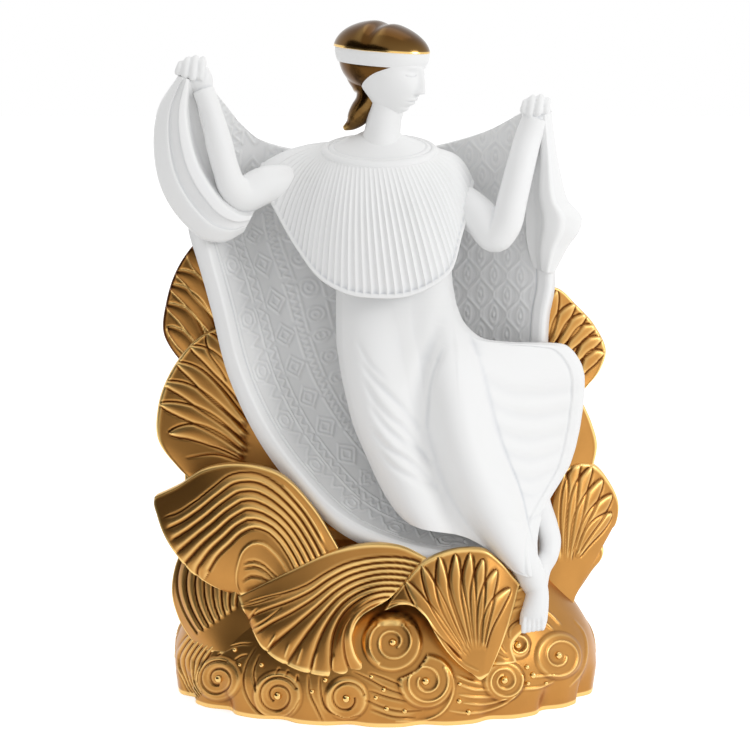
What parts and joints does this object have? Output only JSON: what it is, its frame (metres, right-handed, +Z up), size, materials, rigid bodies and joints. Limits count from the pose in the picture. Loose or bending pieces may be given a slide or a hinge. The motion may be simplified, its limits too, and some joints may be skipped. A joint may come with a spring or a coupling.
{
  "type": "figurine",
  "caption": "Porcelain figurine of a dancing sea nymph holding a wide cloak open above gilded waves, on a flat oval foot.",
  "frame": {"origin": "middle of the flat underside, below the middle of the overall box", "axes": "+Z up; -Y towards the side that the figure faces the viewer from; +X to that viewer's right"},
  "size_m": [0.3077, 0.1891, 0.4386],
  "materials": {
    "porcelain": "matte white porcelain, with satin gilding on the waves, base and hair"
  },
  "bodies": {
    "root": {"figurine": "porcelain"}
  },
  "joints": []
}
